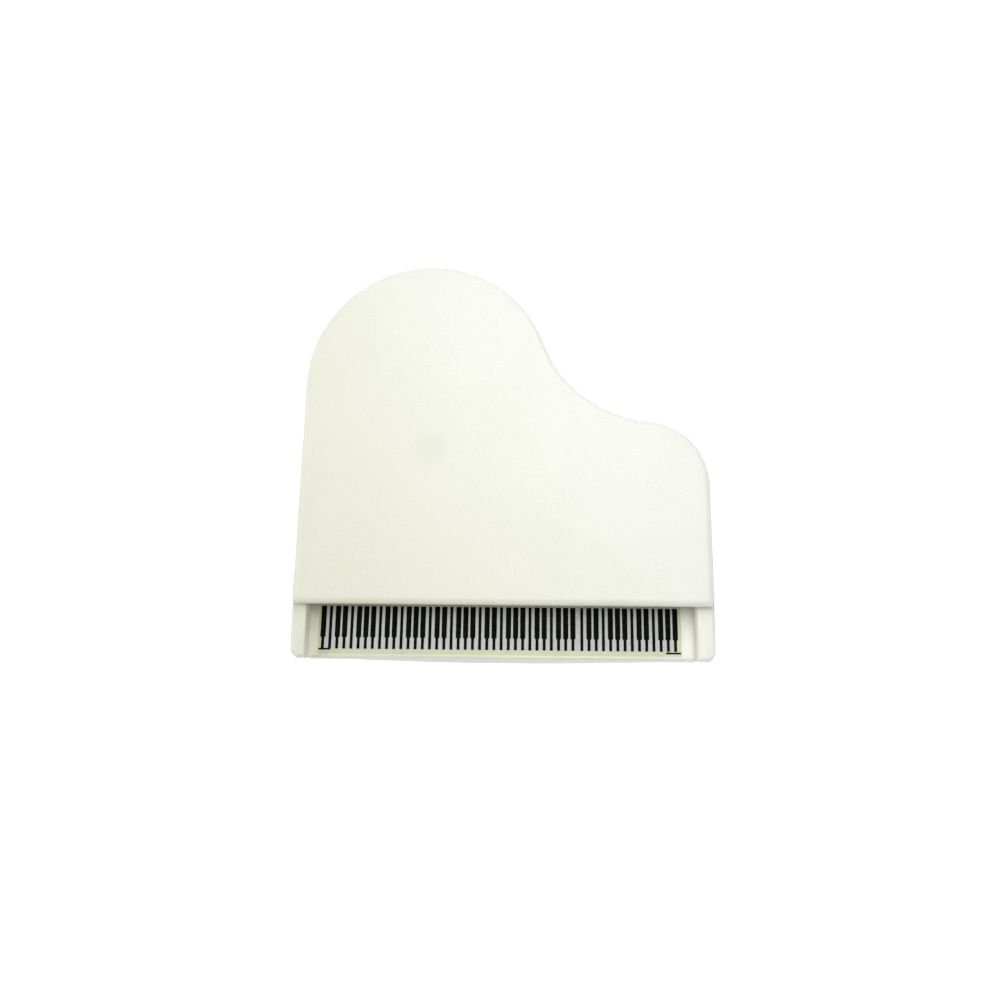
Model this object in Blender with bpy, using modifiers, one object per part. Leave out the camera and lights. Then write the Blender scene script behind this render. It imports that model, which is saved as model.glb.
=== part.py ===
"""A miniature grand piano for a dolls' house, about 1:24, in ivory-white moulded plastic.

Frame: metres, +Z up, +X towards the treble side, +Y towards the tail.  The keyboard faces -Y.
The origin is at the centre of the bounding box, on the surface the piano stands on.

Drawing coordinates are millimetres: u runs right from the lid's spine edge, v runs back from the
lid's front edge, and z runs up from the floor.  at() turns them into the frame above.
"""

import math

import bmesh
import bpy
from mathutils import Matrix, Vector

MM = 0.001

# ---- driving dimensions, in millimetres --------------------------------------------------------

LID_WIDTH = 58.0
CASE_MARGIN = 0.25          # the case stands this far outside the lid all round
WALL = 1.95                 # thickness of the rim
FIT = 0.1                   # gap between neighbouring pieces that don't move
HAIRLINE = 0.05             # gap between the pieces round the keyboard
ARC_STEP = 5.0              # degrees of outline per straight facet

# The outline, walked from the lid's front left corner towards the tail and round to the right.
SPINE_RUN = 33.0
TAIL_BASS_RADIUS = 18.9
TAIL_BASS_TURN = 50.0
TAIL_RADIUS = 17.3
TAIL_TURN = 107.5
BENTSIDE_RADIUS = 18.1
BENTSIDE_TURN = 61.5
CHEEK_RADIUS = 9.1
CHEEK_TURN = 84.0

# Heights above the floor.
CASE_BOTTOM = 27.4
CASE_TOP = 36.4
ARM_TOP = 35.7
LID_BOTTOM = 36.7
LID_TOP = 38.0
KEY_TOP = 32.4              # top of the cheek blocks and the key slip

# Depths of the front, measured in v.
ARM_FRONT = -7.15
SLIP_FRONT = -6.65
LABEL_FRONT = -6.15
FALLBOARD_FRONT = 1.1
FALLBOARD_BACK = 2.2
INTERIOR_FRONT = 2.7

RIGHT_ARM_WIDTH = 2.4
ARM_SCROLL = 1.6            # how far the arms' front sweeps back on its way down
ARM_NOSE = 0.4              # height of the upright nose above the sweep
ARM_STEP_BACK = 0.7         # where the arms' tops step up to the case's top edge
LID_EDGE_RADIUS = 0.8
ARM_CORNER_RADIUS = 1.2

# The lid hinges, on one axis along the spine.
HINGE_U = 0.35
HINGE_DROP = 0.75           # axis below the lid's underside
HINGE_Z = LID_BOTTOM - HINGE_DROP
HINGE_STATIONS = (8.0, 26.0)
HINGE_LENGTH = 6.0
KNUCKLE_RADIUS = 0.5
HINGE_BORE = 0.3
HINGE_PIN_RADIUS = 0.25
HINGE_NOTCH_DROP = 0.75     # depth of the notch in the rim below the axis
LEAF_THICKNESS = 0.25
LEAF_U = HINGE_U + 0.55     # the leaves start clear of the other leaf's knuckles

# The prop that holds the lid at its full opening.
LID_OPENING = 25.0          # degrees
PROP_RATIO = 2.0            # degrees of prop per degree of lid
PROP_REACH = 36.0           # pivot to the right of the hinge axis
PROP_DROP = 2.6             # pivot below the hinge axis
PROP_PIVOT_V = 29.4
PROP_CUP_DEPTH = 1.3
PROP_TIP_RADIUS = 0.35
PROP_TIP_GAP = 0.1
PROP_WIDTH = 0.8
PROP_PIN_RADIUS = 0.28

# Legs and lyre.
LEG_PLACES = {
    "leg_front_left": (5.6, 5.6),
    "leg_front_right": (52.4, 5.6),
    "leg_rear": (17.6, 43.0),
}
LYRE_U = LID_WIDTH / 2
LYRE_V = 6.6


# ---- the outline -------------------------------------------------------------------------------

def walk(offset, bentside_run):
    """Points of the outline at a distance outside the lid's edge, and the heading at the end."""
    arcs = (
        (TAIL_BASS_RADIUS + offset, -TAIL_BASS_TURN, 0.0),
        (TAIL_RADIUS + offset, -TAIL_TURN, bentside_run),
        (BENTSIDE_RADIUS - offset, BENTSIDE_TURN, 0.0),
        (CHEEK_RADIUS + offset, -CHEEK_TURN, 0.0),
    )
    u, v, heading = -offset, SPINE_RUN, 90.0
    points = [(u, v)]
    for radius, turn, run in arcs:
        steps = max(2, round(abs(turn) / ARC_STEP))
        chord = 2 * radius * math.sin(math.radians(abs(turn) / steps / 2))
        for _ in range(steps):
            middle = math.radians(heading + turn / steps / 2)
            u += chord * math.cos(middle)
            v += chord * math.sin(middle)
            heading += turn / steps
            points.append((u, v))
        if run:
            u += run * math.cos(math.radians(heading))
            v += run * math.sin(math.radians(heading))
            points.append((u, v))
    return points


def solve_bentside_run():
    """Length of the straight between tail and bentside that makes the outline LID_WIDTH wide."""
    heading = math.radians(90.0 - TAIL_BASS_TURN - TAIL_TURN)
    shortfall = LID_WIDTH - walk(0.0, 0.0)[-1][0]
    return shortfall / math.cos(heading)


BENTSIDE_RUN = solve_bentside_run()
CASE_LEFT = -CASE_MARGIN
CASE_RIGHT = LID_WIDTH + CASE_MARGIN
RIGHT_ARM_INSIDE = CASE_RIGHT - RIGHT_ARM_WIDTH
CLEAR = 2.0                 # how far a cutter runs past what it cuts


def side_path(offset):
    """The outline at this offset, from the end of the spine to the start of the right cheek."""
    return walk(offset, BENTSIDE_RUN)


TAIL_END = max(v for u, v in side_path(CASE_MARGIN))
V_MIDDLE = (TAIL_END + ARM_FRONT) / 2
INNER = CASE_MARGIN - WALL


def at(u, v, z=0.0):
    """A drawing point, as a position in metres in the piano's frame."""
    return Vector(((u - LID_WIDTH / 2) * MM, (v - V_MIDDLE) * MM, z * MM))


def reach(u, offset):
    """The largest v of the outline at this offset, at a given u."""
    path = side_path(offset)
    best = -1e9
    for (u0, v0), (u1, v1) in zip(path, path[1:]):
        if min(u0, u1) <= u <= max(u0, u1) and u0 != u1:
            best = max(best, v0 + (v1 - v0) * (u - u0) / (u1 - u0))
    return best


def bay(offset, front):
    """A closed bay inside the outline, with a straight front."""
    path = side_path(offset)
    return [(path[0][0], front)] + path + [(path[-1][0], front)]


def corner(centre_u, centre_v, radius, start, end, steps=6):
    """Points of a rounded corner, from one direction to another, in degrees."""
    angles = [math.radians(start + (end - start) * i / steps) for i in range(steps + 1)]
    return [(centre_u + radius * math.cos(a), centre_v + radius * math.sin(a)) for a in angles]


# ---- collections, materials and modelling helpers ----------------------------------------------

for old in list(bpy.data.objects):
    bpy.data.objects.remove(old, do_unlink=True)

PIANO = bpy.data.collections.new("miniature_grand_piano")
CUTTERS = bpy.data.collections.new("cutters")
for group in (PIANO, CUTTERS):
    bpy.context.scene.collection.children.link(group)


def finish(name, colour, roughness, metallic=0.0):
    """A plain Principled material."""
    material = bpy.data.materials.new(name)
    material.use_nodes = True
    shader = material.node_tree.nodes["Principled BSDF"]
    shader.inputs["Base Color"].default_value = (*colour, 1.0)
    shader.inputs["Roughness"].default_value = roughness
    shader.inputs["Metallic"].default_value = metallic
    material.diffuse_color = (*colour, 1.0)
    return material


IVORY = finish("ivory_plastic", (0.86, 0.87, 0.78), 0.22)
PAPER = finish("label_paper", (0.80, 0.81, 0.76), 0.55)
GOLD = finish("gold_paint", (0.72, 0.52, 0.22), 0.35, 0.9)
BRASS = finish("brass", (0.78, 0.60, 0.30), 0.28, 1.0)
SPRUCE = finish("soundboard_wood", (0.66, 0.45, 0.24), 0.5)
MAPLE = finish("bridge_wood", (0.42, 0.25, 0.12), 0.5)


def add(name, mesh, material, collection=PIANO):
    """An object for a mesh, in its collection."""
    thing = bpy.data.objects.new(name, mesh)
    if material:
        mesh.materials.clear()
        mesh.materials.append(material)
    collection.objects.link(thing)
    return thing


def from_bmesh(name, bm, material, collection=PIANO):
    """An object from a bmesh, with its faces pointing out."""
    bmesh.ops.recalc_face_normals(bm, faces=bm.faces)
    mesh = bpy.data.meshes.new(name)
    bm.to_mesh(mesh)
    bm.free()
    return add(name, mesh, material, collection)


def slab(name, outline, low, high, material=None, collection=PIANO):
    """A flat plate: a filled 2D curve, extruded between two heights and welded into a mesh."""
    curve = bpy.data.curves.new(name, "CURVE")
    curve.dimensions = "2D"
    curve.fill_mode = "BOTH"
    curve.extrude = (high - low) / 2 * MM
    spline = curve.splines.new("POLY")
    spline.points.add(len(outline) - 1)
    spline.use_cyclic_u = True
    for point, (u, v) in zip(spline.points, outline):
        point.co = (*at(u, v).xy, 0.0, 1.0)
    guide = bpy.data.objects.new(name + "_outline", curve)
    bpy.context.scene.collection.objects.link(guide)
    bpy.context.view_layer.update()
    evaluated = guide.evaluated_get(bpy.context.evaluated_depsgraph_get())
    mesh = bpy.data.meshes.new_from_object(evaluated)
    bpy.data.objects.remove(guide, do_unlink=True)
    bm = bmesh.new()
    bm.from_mesh(mesh)
    bpy.data.meshes.remove(mesh)
    bmesh.ops.remove_doubles(bm, verts=bm.verts, dist=1e-6)
    bmesh.ops.dissolve_limit(bm, angle_limit=math.radians(0.5), verts=bm.verts, edges=bm.edges)
    bmesh.ops.translate(bm, verts=bm.verts, vec=(0.0, 0.0, (low + high) / 2 * MM))
    return from_bmesh(name, bm, material, collection)


def block(name, u, v, z, material=None, collection=PIANO):
    """A box between pairs of drawing coordinates."""
    bm = bmesh.new()
    low, high = at(u[0], v[0], z[0]), at(u[1], v[1], z[1])
    size, middle = high - low, (high + low) / 2
    place = Matrix.Translation(middle) @ Matrix.Diagonal((*size, 1.0))
    bmesh.ops.create_cube(bm, size=1.0, matrix=place)
    return from_bmesh(name, bm, material, collection)


def cutter(name, u, v, z):
    """A hidden box for a Boolean modifier."""
    return block(name, u, v, z, None, CUTTERS)


def rod(name, start, end, radius, material=None, collection=PIANO, segments=20):
    """A plain cylinder between two positions in metres."""
    bm = bmesh.new()
    span = end - start
    turn = span.to_track_quat("Z", "Y").to_matrix().to_4x4()
    bmesh.ops.create_cone(bm, cap_ends=True, segments=segments, radius1=radius * MM, radius2=radius * MM,
                          depth=span.length, matrix=Matrix.Translation((start + end) / 2) @ turn)
    return from_bmesh(name, bm, material, collection)


def cross_rod(name, u, v, z, radius, segments=20, material=None, collection=CUTTERS):
    """A cylinder along u, between a pair of u values; a hidden cutter unless told otherwise."""
    return rod(name, at(u[0], v, z), at(u[1], v, z), radius, material, collection, segments)


def round_edges(thing, chosen, width, segments):
    """Round the edges that a test picks, before any modifier."""
    bm = bmesh.new()
    bm.from_mesh(thing.data)
    edges = [edge for edge in bm.edges if chosen(edge)]
    bmesh.ops.bevel(bm, geom=edges, offset=width * MM, offset_type="OFFSET", segments=segments,
                    profile=0.5, affect="EDGES", clamp_overlap=True)
    bm.to_mesh(thing.data)
    bm.free()


def rim_edges(height):
    """A test for the edges of a plate that lie at one height."""
    def chosen(edge):
        return all(abs(vert.co.z - height * MM) < 1e-6 for vert in edge.verts)
    return chosen


def bevel(thing, width, segments=2, angle=40.0):
    """A Bevel modifier on the sharp edges."""
    modifier = thing.modifiers.new("rounded_edges", "BEVEL")
    modifier.width = width * MM
    modifier.segments = segments
    modifier.limit_method = "ANGLE"
    modifier.angle_limit = math.radians(angle)
    return modifier


def boolean(thing, other, operation="DIFFERENCE"):
    """A Boolean modifier; the other object becomes a hidden cutter."""
    modifier = thing.modifiers.new(operation.lower() + "_" + other.name, "BOOLEAN")
    modifier.operation = operation
    modifier.object = other
    modifier.solver = "EXACT"
    other.hide_render = True
    other.display_type = "WIRE"
    return modifier


def shade_round(thing, angle=35.0):
    """Smooth shading with sharp edges kept."""
    thing.data.shade_smooth()
    thing.data.set_sharp_from_angle(angle=math.radians(angle))


def turned(name, place, profile, material, steps=20):
    """A turned piece: a profile of (radius, z), listed from the top down, under a Screw modifier."""
    bm = bmesh.new()
    verts = [bm.verts.new((radius * MM, 0.0, z * MM)) for radius, z in profile]
    for first, second in zip(verts, verts[1:]):
        bm.edges.new((first, second))
    mesh = bpy.data.meshes.new(name)
    bm.to_mesh(mesh)
    bm.free()
    piece = add(name, mesh, material)
    piece.location = at(*place)
    screw = piece.modifiers.new("turning", "SCREW")
    screw.steps = steps
    screw.render_steps = steps
    screw.use_merge_vertices = True
    screw.merge_threshold = 1e-6
    screw.use_smooth_shade = True
    return piece


def joint_empty(name, place):
    """An empty on a joint's axis, the parent of what moves with it."""
    empty = bpy.data.objects.new(name, None)
    empty.empty_display_size = 0.004
    empty.location = place
    PIANO.objects.link(empty)
    return empty


def carry(empty, *pieces):
    """Parent pieces to an empty and keep them where they are."""
    bpy.context.view_layer.update()
    for piece in pieces:
        piece.parent = empty
        piece.matrix_parent_inverse = empty.matrix_world.inverted()


# ---- the case ----------------------------------------------------------------------------------

def make_case_rim():
    """The moulded side wall: spine, tail, bentside, cheek and the two arms, open at the front."""
    outer = side_path(CASE_MARGIN)
    inner = side_path(INNER)
    radius = ARM_CORNER_RADIUS
    outline = [(CASE_LEFT + WALL, ARM_FRONT)]
    outline += corner(CASE_LEFT + radius, ARM_FRONT + radius, radius, 270.0, 180.0)
    outline += outer
    outline += corner(CASE_RIGHT - radius, ARM_FRONT + radius, radius, 0.0, -90.0)
    outline += [(RIGHT_ARM_INSIDE, ARM_FRONT), (RIGHT_ARM_INSIDE, FALLBOARD_BACK + FIT)]
    outline += [(inner[-1][0], FALLBOARD_BACK + FIT)]
    outline += list(reversed(inner))
    rim = slab("case_rim", outline, CASE_BOTTOM, CASE_TOP, IVORY)

    across = (CASE_LEFT - CLEAR, CASE_RIGHT + CLEAR)
    arms = (ARM_FRONT - CLEAR, ARM_STEP_BACK)
    boolean(rim, cutter("arm_step", across, arms, (ARM_TOP, CASE_TOP + CLEAR)))
    for index, station in enumerate(HINGE_STATIONS):
        span = (station - HINGE_LENGTH / 2 - FIT, station + HINGE_LENGTH / 2 + FIT)
        wall = (CASE_LEFT - CLEAR, CASE_LEFT + WALL + CLEAR)
        height = (HINGE_Z - HINGE_NOTCH_DROP, CASE_TOP + CLEAR)
        boolean(rim, cutter(f"hinge_notch_{index}", wall, span, height))

    # The scroll is a box whose back face is laid through the arms' noses, and then tilted.
    height = ARM_TOP - CASE_BOTTOM
    scroll = cutter("arm_scroll", across, (-height - CLEAR, 0.0), (-height - CLEAR, CLEAR))
    lean = Matrix.Rotation(math.atan2(ARM_SCROLL, height), 4, "X")
    nose = at(0.0, ARM_FRONT, ARM_TOP - ARM_NOSE)
    scroll.matrix_world = Matrix.Translation(nose) @ lean @ Matrix.Translation(-at(0.0, 0.0))
    boolean(rim, scroll)
    rounded = bevel(rim, 0.2, 2, 50.0)
    rounded.use_clamp_overlap = False
    shade_round(rim)
    return rim


FLOOR_FRONT = -5.0
FLOOR_TOP = CASE_BOTTOM + 1.2
SOCKET_RADIUS = 1.1
BOARD_LOW = FLOOR_TOP + FIT
BOARD_HIGH = BOARD_LOW + 0.6


def make_case_floor():
    """The plate that closes the case from below, with a socket for each leg."""
    outline = bay(INNER - FIT, FLOOR_FRONT)[:-1]
    outline += [(outline[-1][0], FALLBOARD_BACK + 2 * FIT)]
    outline += [(RIGHT_ARM_INSIDE - FIT, FALLBOARD_BACK + 2 * FIT), (RIGHT_ARM_INSIDE - FIT, FLOOR_FRONT)]
    plate = slab("case_floor", outline, CASE_BOTTOM, FLOOR_TOP, IVORY)
    for name, (u, v) in LEG_PLACES.items():
        socket = rod(name + "_socket", at(u, v, CASE_BOTTOM - CLEAR), at(u, v, FLOOR_TOP + CLEAR),
                     SOCKET_RADIUS, None, CUTTERS, 24)
        boolean(plate, socket)
    shade_round(plate)
    return plate


def make_soundboard():
    """The thin wooden board inside the case, just above the floor."""
    board = slab("soundboard", bay(INNER - FIT, INTERIOR_FRONT), BOARD_LOW, BOARD_HIGH, SPRUCE)
    shade_round(board)
    return board


PLATE_LOW = BOARD_HIGH + FIT
PLATE_HIGH = PLATE_LOW + 1.6
STRUT_TOP = PLATE_HIGH + 1.2
STRUTS = (12.5, 22.0, 31.0, 43.5)
STRUT_WIDTH = 0.9
PLATE_OFFSET = INNER - 0.3
BORDER = 2.4
WEB_BACK = 11.0
BRIDGE_CENTRE = (42.5, 50.0)
BRIDGE_RADIUS = 36.0
BRIDGE_HIGH = PLATE_LOW + 1.7
BRIDGE_WIDTH = 1.1
CHANNEL_WIDTH = 1.8         # the opening in the plate that the bridge stands in


def bridge_outline(half_width, spread=0.0):
    """The curved bridge's plan, as a thick arc; spread lengthens it at both ends, in degrees."""
    start, end = 200.0 - spread, 272.0 + spread
    outer = corner(*BRIDGE_CENTRE, BRIDGE_RADIUS + half_width, start, end, 16)
    inner = corner(*BRIDGE_CENTRE, BRIDGE_RADIUS - half_width, end, start, 16)
    return outer + inner


def make_string_plate():
    """The gold plate that carries the strings: a border, a web for the tuning pins, and struts."""
    plate = slab("string_plate", bay(PLATE_OFFSET, INTERIOR_FRONT + FIT), PLATE_LOW, PLATE_HIGH, GOLD)
    window = slab("plate_window", bay(PLATE_OFFSET - BORDER, WEB_BACK), PLATE_LOW - CLEAR,
                  PLATE_HIGH + CLEAR, None, CUTTERS)
    boolean(plate, window)
    for index, u in enumerate(STRUTS):
        width = (u - STRUT_WIDTH / 2, u + STRUT_WIDTH / 2)
        length = (WEB_BACK - 2.5, reach(u, PLATE_OFFSET - STRUT_WIDTH))
        boolean(plate, cutter(f"strut_{index}", width, length, (PLATE_HIGH - 0.5, STRUT_TOP)), "UNION")
    channel = slab("bridge_channel", bridge_outline(CHANNEL_WIDTH / 2, 3.0), PLATE_LOW - CLEAR,
                   BRIDGE_HIGH + 0.2, None, CUTTERS)
    boolean(plate, channel)
    shade_round(plate)
    return plate


def make_bridge():
    """The curved wooden bridge that stands on the soundboard under the strings."""
    bridge = slab("bridge", bridge_outline(BRIDGE_WIDTH / 2), PLATE_LOW, BRIDGE_HIGH, MAPLE)
    shade_round(bridge)
    return bridge


# ---- the keyboard end --------------------------------------------------------------------------

KEY_LEFT = CASE_LEFT + WALL + HAIRLINE
KEY_RIGHT = RIGHT_ARM_INSIDE - HAIRLINE
LABEL_LEFT = 2.95
LABEL_RIGHT = 54.0
LABEL_THICKNESS = 0.12
BED_BOTTOM = FLOOR_TOP + FIT
BED_TOP = KEY_TOP - 0.45
BED_STEP = KEY_TOP - 1.5    # floor of the steps for the slip and the cheeks
BED_BOW = 0.6               # how far the bed's front swells forward in the middle
BED_FACETS = 12


def make_key_bed():
    """The block under the keyboard, stepped for the slip and the cheeks; its front bows forward."""
    middle = (KEY_LEFT + KEY_RIGHT) / 2
    half = (KEY_RIGHT - KEY_LEFT) / 2
    outline = [(KEY_RIGHT, FALLBOARD_BACK), (KEY_LEFT, FALLBOARD_BACK)]
    for facet in range(BED_FACETS + 1):
        along = 2 * facet / BED_FACETS - 1
        outline.append((middle + half * along, SLIP_FRONT + BED_BOW * along ** 2))
    bed = slab("key_bed", outline, BED_BOTTOM, BED_TOP, IVORY)
    steps = {
        "slip_step": ((CASE_LEFT, CASE_RIGHT), LABEL_FRONT),
        "cheek_step_left": ((CASE_LEFT, LABEL_LEFT), FALLBOARD_FRONT - HAIRLINE),
        "cheek_step_right": ((LABEL_RIGHT, CASE_RIGHT), FALLBOARD_FRONT - HAIRLINE),
    }
    for name, (u, back) in steps.items():
        boolean(bed, cutter(name, u, (SLIP_FRONT - CLEAR, back), (BED_STEP, KEY_TOP)))
    shade_round(bed)
    return bed


def make_key_slip():
    """The strip along the front of the keyboard, with a rounded front edge."""
    slip = block("key_slip", (KEY_LEFT, KEY_RIGHT), (SLIP_FRONT, LABEL_FRONT - HAIRLINE),
                 (BED_STEP + HAIRLINE, KEY_TOP), IVORY)
    front = at(0, SLIP_FRONT).y

    def top_front(edge):
        return all(abs(v.co.y - front) < 1e-6 and abs(v.co.z - KEY_TOP * MM) < 1e-6 for v in edge.verts)

    round_edges(slip, top_front, 0.4, 5)
    shade_round(slip)
    return slip


def make_cheek(name, left, right):
    """The block between the keys and an arm."""
    cheek = block(name, (left, right), (LABEL_FRONT, FALLBOARD_FRONT - 2 * HAIRLINE),
                  (BED_STEP + HAIRLINE, KEY_TOP), IVORY)
    bevel(cheek, 0.08, 2)
    shade_round(cheek)
    return cheek


def make_key_label():
    """The printed strip that stands for the keys."""
    low = BED_TOP + HAIRLINE
    return block("key_label", (LABEL_LEFT + HAIRLINE, LABEL_RIGHT - HAIRLINE),
                 (LABEL_FRONT, FALLBOARD_FRONT - 2 * HAIRLINE), (low, low + LABEL_THICKNESS), PAPER)


def make_fallboard():
    """The upright board behind the keys, under the lid's front edge."""
    board = block("fallboard", (KEY_LEFT + HAIRLINE, KEY_RIGHT - HAIRLINE),
                  (FALLBOARD_FRONT, FALLBOARD_BACK), (BED_TOP + HAIRLINE, CASE_TOP - FIT), IVORY)
    bevel(board, 0.3, 3)
    shade_round(board)
    return board


# ---- the lid and its hinges --------------------------------------------------------------------

def make_lid():
    """The one-piece lid, flat, with a rounded upper edge."""
    path = side_path(0.0)
    radius = 0.5
    outline = corner(radius, radius, radius, 270.0, 180.0, 3) + path
    outline += corner(LID_WIDTH - radius, radius, radius, 0.0, -90.0, 3)
    lid = slab("lid", outline, LID_BOTTOM, LID_TOP, IVORY)
    round_edges(lid, rim_edges(LID_TOP), LID_EDGE_RADIUS, 5)
    round_edges(lid, rim_edges(LID_BOTTOM), 0.15, 1)
    shade_round(lid)
    return lid


def hinge_rod(name, span, radius, material=None, collection=CUTTERS, segments=24):
    """A cylinder on the hinge axis, between a pair of v values."""
    start, end = (at(HINGE_U, v, HINGE_Z) for v in span)
    return rod(name, start, end, radius, material, collection, segments)


def knuckle_leaf(name, spans, leaf_u, leaf_z, leaf_span, web_z):
    """A hinge leaf: knuckles on the axis joined to a flat leaf, with a bore for the pin."""
    leaf_v = (leaf_span[0] + HAIRLINE, leaf_span[1] - HAIRLINE)
    leaf = block(name, leaf_u, leaf_v, leaf_z, BRASS)
    web_u = (HINGE_U, HINGE_U + KNUCKLE_RADIUS * 1.5)
    for index, (start, end) in enumerate(spans):
        boolean(leaf, hinge_rod(f"{name}_knuckle_{index}", (start, end), KNUCKLE_RADIUS), "UNION")
        web_v = (start + HAIRLINE, end - HAIRLINE)
        boolean(leaf, cutter(f"{name}_web_{index}", web_u, web_v, web_z), "UNION")
    boolean(leaf, hinge_rod(name + "_bore", (leaf_span[0] - CLEAR, leaf_span[1] + CLEAR), HINGE_BORE))
    shade_round(leaf)
    return leaf


def make_hinge(label, station):
    """One lid hinge: a leaf on the case, a leaf under the lid and the pin they turn on."""
    half = HINGE_LENGTH / 2
    third = HINGE_LENGTH / 3
    first, last = station - half, station + half
    low = HINGE_Z - 0.65
    case_spans = ((first, first + third), (last - third, last))
    case_leaf = knuckle_leaf(f"hinge_leaf_case_{label}", case_spans, (LEAF_U, 1.65),
                             (low, low + LEAF_THICKNESS), (first, last), (low + 0.01, HINGE_Z - 0.2))
    high = LID_BOTTOM - HAIRLINE
    lid_spans = ((first + third + FIT, last - third - FIT),)
    lid_leaf = knuckle_leaf(f"hinge_leaf_lid_{label}", lid_spans, (LEAF_U, 1.9),
                            (high - LEAF_THICKNESS, high), (first, last), (HINGE_Z + 0.2, high - 0.01))
    pin = hinge_rod(f"hinge_pin_{label}", (first, last), HINGE_PIN_RADIUS, BRASS, PIANO, 16)
    shade_round(pin)
    return case_leaf, lid_leaf, pin


# ---- the prop ----------------------------------------------------------------------------------

PROP_U = HINGE_U + PROP_REACH
PROP_Z = HINGE_Z - PROP_DROP
PROP_ANGLE = LID_OPENING * PROP_RATIO
OPEN = math.radians(LID_OPENING)
# Where the tip stands with the lid fully open: its distance below the lid's underside, along the
# lid's normal, leaves room for the cup, and that fixes the length of the prop.
# The tip is a round bar lying across, so its end reaches further towards the tilted cup.
TIP_REACH = PROP_TIP_RADIUS * math.cos(OPEN) + PROP_WIDTH / 2 * math.sin(OPEN)
TIP_BELOW_LID = PROP_CUP_DEPTH + TIP_REACH + PROP_TIP_GAP
TIP_RISE = (HINGE_DROP - TIP_BELOW_LID + PROP_REACH * math.sin(OPEN)) / math.cos(OPEN)
PROP_LENGTH = (TIP_RISE + PROP_DROP) / math.sin(math.radians(PROP_ANGLE))
CUP_U = HINGE_U + PROP_REACH * math.cos(OPEN) + TIP_RISE * math.sin(OPEN)
CUP_V = PROP_PIVOT_V - PROP_LENGTH * math.cos(math.radians(PROP_ANGLE))


def make_prop():
    """The lid prop: a flat stick with an eye at its pivot, lying towards the keyboard."""
    u = (PROP_U - PROP_WIDTH / 2, PROP_U + PROP_WIDTH / 2)
    tip_v = PROP_PIVOT_V - PROP_LENGTH
    stick = cross_rod("lid_prop", u, PROP_PIVOT_V, PROP_Z, 0.75, 24, IVORY, PIANO)
    bar_z = (PROP_Z - PROP_TIP_RADIUS, PROP_Z + PROP_TIP_RADIUS)
    boolean(stick, cutter("prop_bar", u, (tip_v, PROP_PIVOT_V - 0.3), bar_z), "UNION")
    boolean(stick, cross_rod("prop_tip", u, tip_v, PROP_Z, PROP_TIP_RADIUS, 16), "UNION")
    through = (u[0] - CLEAR, u[1] + CLEAR)
    boolean(stick, cross_rod("prop_eye", through, PROP_PIVOT_V, PROP_Z, PROP_PIN_RADIUS + 0.12))
    shade_round(stick)
    return stick


def make_prop_bracket():
    """A fork on the plate's border that holds the prop's pin."""
    inside = PROP_WIDTH / 2 + 0.15
    outside = inside + 0.55
    base = PLATE_HIGH + FIT
    top = PROP_Z + 0.7
    length = (PROP_PIVOT_V - 0.9, PROP_PIVOT_V + 1.1)
    bracket = block("prop_bracket", (PROP_U - outside, PROP_U + outside), length, (base, top), BRASS)
    slot = cutter("bracket_slot", (PROP_U - inside, PROP_U + inside),
                  (length[0] - CLEAR, length[1] + CLEAR), (base + 0.4, top + CLEAR))
    boolean(bracket, slot)
    through = (PROP_U - outside - CLEAR, PROP_U + outside + CLEAR)
    boolean(bracket, cross_rod("bracket_bore", through, PROP_PIVOT_V, PROP_Z, PROP_PIN_RADIUS + 0.05))
    shade_round(bracket)
    ends = (PROP_U - outside - FIT, PROP_U + outside + FIT)
    pin = cross_rod("prop_pin", ends, PROP_PIVOT_V, PROP_Z, PROP_PIN_RADIUS, 16, BRASS, PIANO)
    shade_round(pin)
    return bracket, pin


def make_prop_cup():
    """The block under the lid that the prop's tip stands in."""
    cup = block("prop_cup", (CUP_U - 0.9, CUP_U + 0.9), (CUP_V - 1.3, CUP_V + 1.3),
                (LID_BOTTOM - PROP_CUP_DEPTH, LID_BOTTOM - HAIRLINE), IVORY)
    bevel(cup, 0.15, 2)
    shade_round(cup)
    return cup


# ---- legs and lyre -----------------------------------------------------------------------------

# Profiles are (radius, z) from the top down: peg, top block, mouldings, shaft, ankle and foot.
LEG_PROFILE = (
    (0.0, 28.5), (0.95, 28.5), (0.95, CASE_BOTTOM - FIT),
    (2.45, CASE_BOTTOM - FIT), (2.5, 27.1), (2.5, 24.3), (2.4, 24.1),
    (1.75, 24.0), (1.65, 23.7), (1.85, 23.35), (2.15, 23.1), (2.2, 22.8), (2.1, 22.5),
    (1.75, 22.3), (1.7, 21.8), (1.72, 18.0), (1.6, 13.0), (1.4, 8.0), (1.12, 4.0),
    (1.05, 3.2), (1.25, 3.0), (1.5, 2.75), (1.55, 2.5), (1.4, 2.25), (1.0, 2.1),
    (1.0, 1.9), (1.35, 1.7), (1.6, 1.3), (1.65, 0.8), (1.5, 0.3), (1.2, 0.0), (0.0, 0.0),
)
LYRE_PROFILE = (
    (0.0, 20.2), (0.75, 20.2), (0.75, 19.4), (0.5, 19.2), (0.5, 18.8), (0.72, 17.5),
    (0.8, 14.5), (0.65, 9.0), (0.45, 4.2), (0.45, 3.8), (0.68, 3.4), (0.68, 0.0), (0.0, 0.0),
)
BOX_LOW = 2.7
BOX_HIGH = 5.0
BOX_HALF_WIDTH = 4.8
BOX_HALF_DEPTH = 1.9
LYRE_BLOCK_LOW = 25.4
POST_SPREAD = 2.9
STAY_SPREAD = 3.6
STAY_RADIUS = 0.32
PEDALS = {"soft": -2.5, "middle": 0.0, "sustain": 2.5}
PEDAL_LENGTH = 3.6
PEDAL_HALF_WIDTH = 0.4
TOE_RADIUS = 0.75


def make_legs():
    """Three turned legs, each with a peg that pushes into its socket in the floor."""
    return [turned(name, (u, v), LEG_PROFILE, IVORY) for name, (u, v) in LEG_PLACES.items()]


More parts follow.
